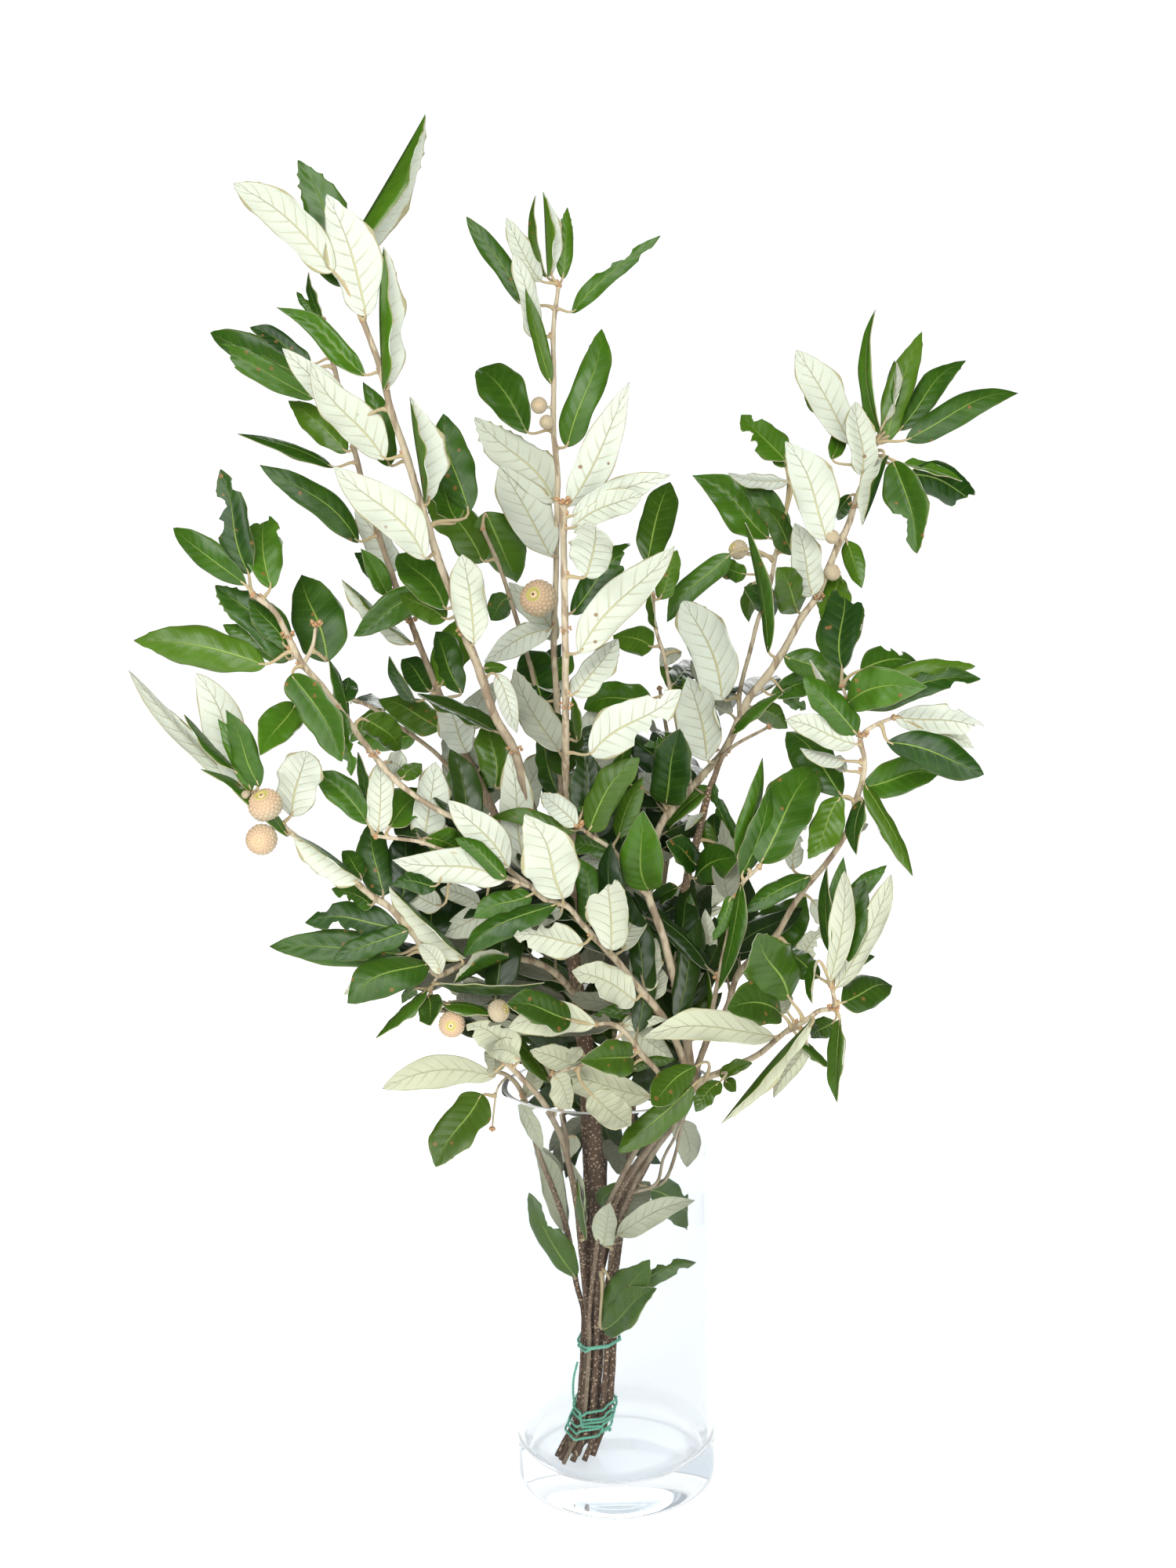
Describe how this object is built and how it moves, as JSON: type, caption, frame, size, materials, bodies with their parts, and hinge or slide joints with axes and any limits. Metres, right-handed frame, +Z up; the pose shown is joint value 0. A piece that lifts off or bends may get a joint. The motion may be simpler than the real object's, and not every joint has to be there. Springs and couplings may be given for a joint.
{
  "type": "holm oak bunch in a glass vase",
  "caption": "Leafy evergreen oak branches with small acorn cups, tied with thin twine and standing in a clear, slightly flared glass cylinder vase with a thick base.",
  "frame": {"origin": "centre of the vase's flat underside", "axes": "+Z up along the vase's axis and the bunch, -Y towards the front of the bunch, +X to its right"},
  "size_m": [0.4308, 0.2167, 0.6558],
  "materials": {
    "glass": "clear, polished",
    "twine": "thin matt cotton twine",
    "foliage": "woody stems with leathery leaves"
  },
  "bodies": {
    "root": {"vase": "glass", "tie_lower": "twine", "tie_upper": "twine", "branch_centre": "foliage", "branch_left_back": "foliage", "branch_right_tall": "foliage", "branch_right_dark": "foliage", "branch_right_mid": "foliage", "branch_right_low": "foliage", "branch_left_front": "foliage", "branch_rim_left": "foliage", "branch_rim_outer": "foliage", "branch_centre_low": "foliage", "branch_back_right": "foliage", "branch_back_left": "foliage", "branch_back_low": "foliage"}
  },
  "joints": []
}
